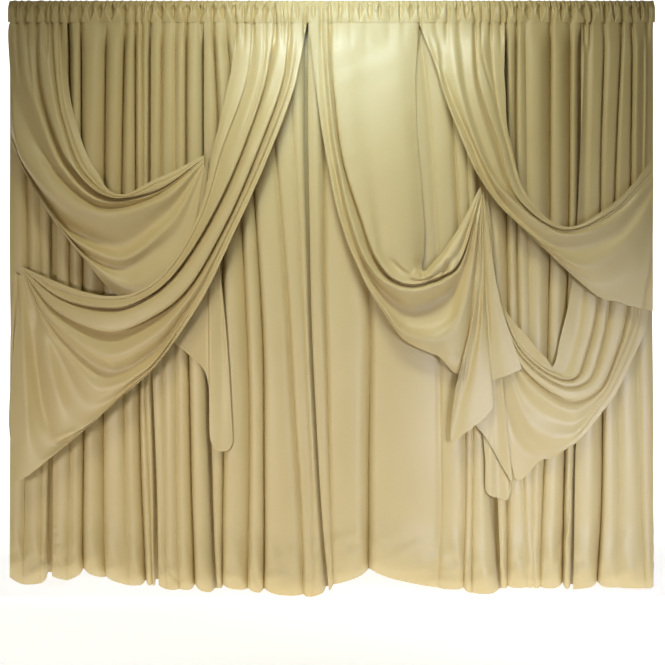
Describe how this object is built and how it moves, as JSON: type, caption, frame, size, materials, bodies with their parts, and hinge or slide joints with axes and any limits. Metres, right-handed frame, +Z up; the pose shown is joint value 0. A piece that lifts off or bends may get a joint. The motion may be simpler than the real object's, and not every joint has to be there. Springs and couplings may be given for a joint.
{
  "type": "swagged backdrop drape",
  "caption": "Wide floor-length backdrop drape: gathered rod-pocket heading, straight pleated panels and uneven swag panels swept across the front and pinned up.",
  "frame": {"origin": "middle of the rod pocket, on the line of the rod", "axes": "+X along the rod, to the right as seen from the front; +Y to the back; +Z up; the swags face -Y"},
  "size_m": [3.2968, 0.228, 3.019],
  "materials": {
    "drape_cloth": "soft satin"
  },
  "bodies": {
    "root": {"heading": "drape_cloth", "back_panel_1": "drape_cloth", "back_panel_2": "drape_cloth", "back_panel_3": "drape_cloth", "back_panel_4": "drape_cloth", "back_panel_5": "drape_cloth", "back_panel_6": "drape_cloth", "back_panel_7": "drape_cloth", "swag_panel_1": "drape_cloth", "swag_panel_2": "drape_cloth", "swag_panel_3": "drape_cloth", "swag_panel_4": "drape_cloth", "swag_panel_5": "drape_cloth"}
  },
  "joints": []
}
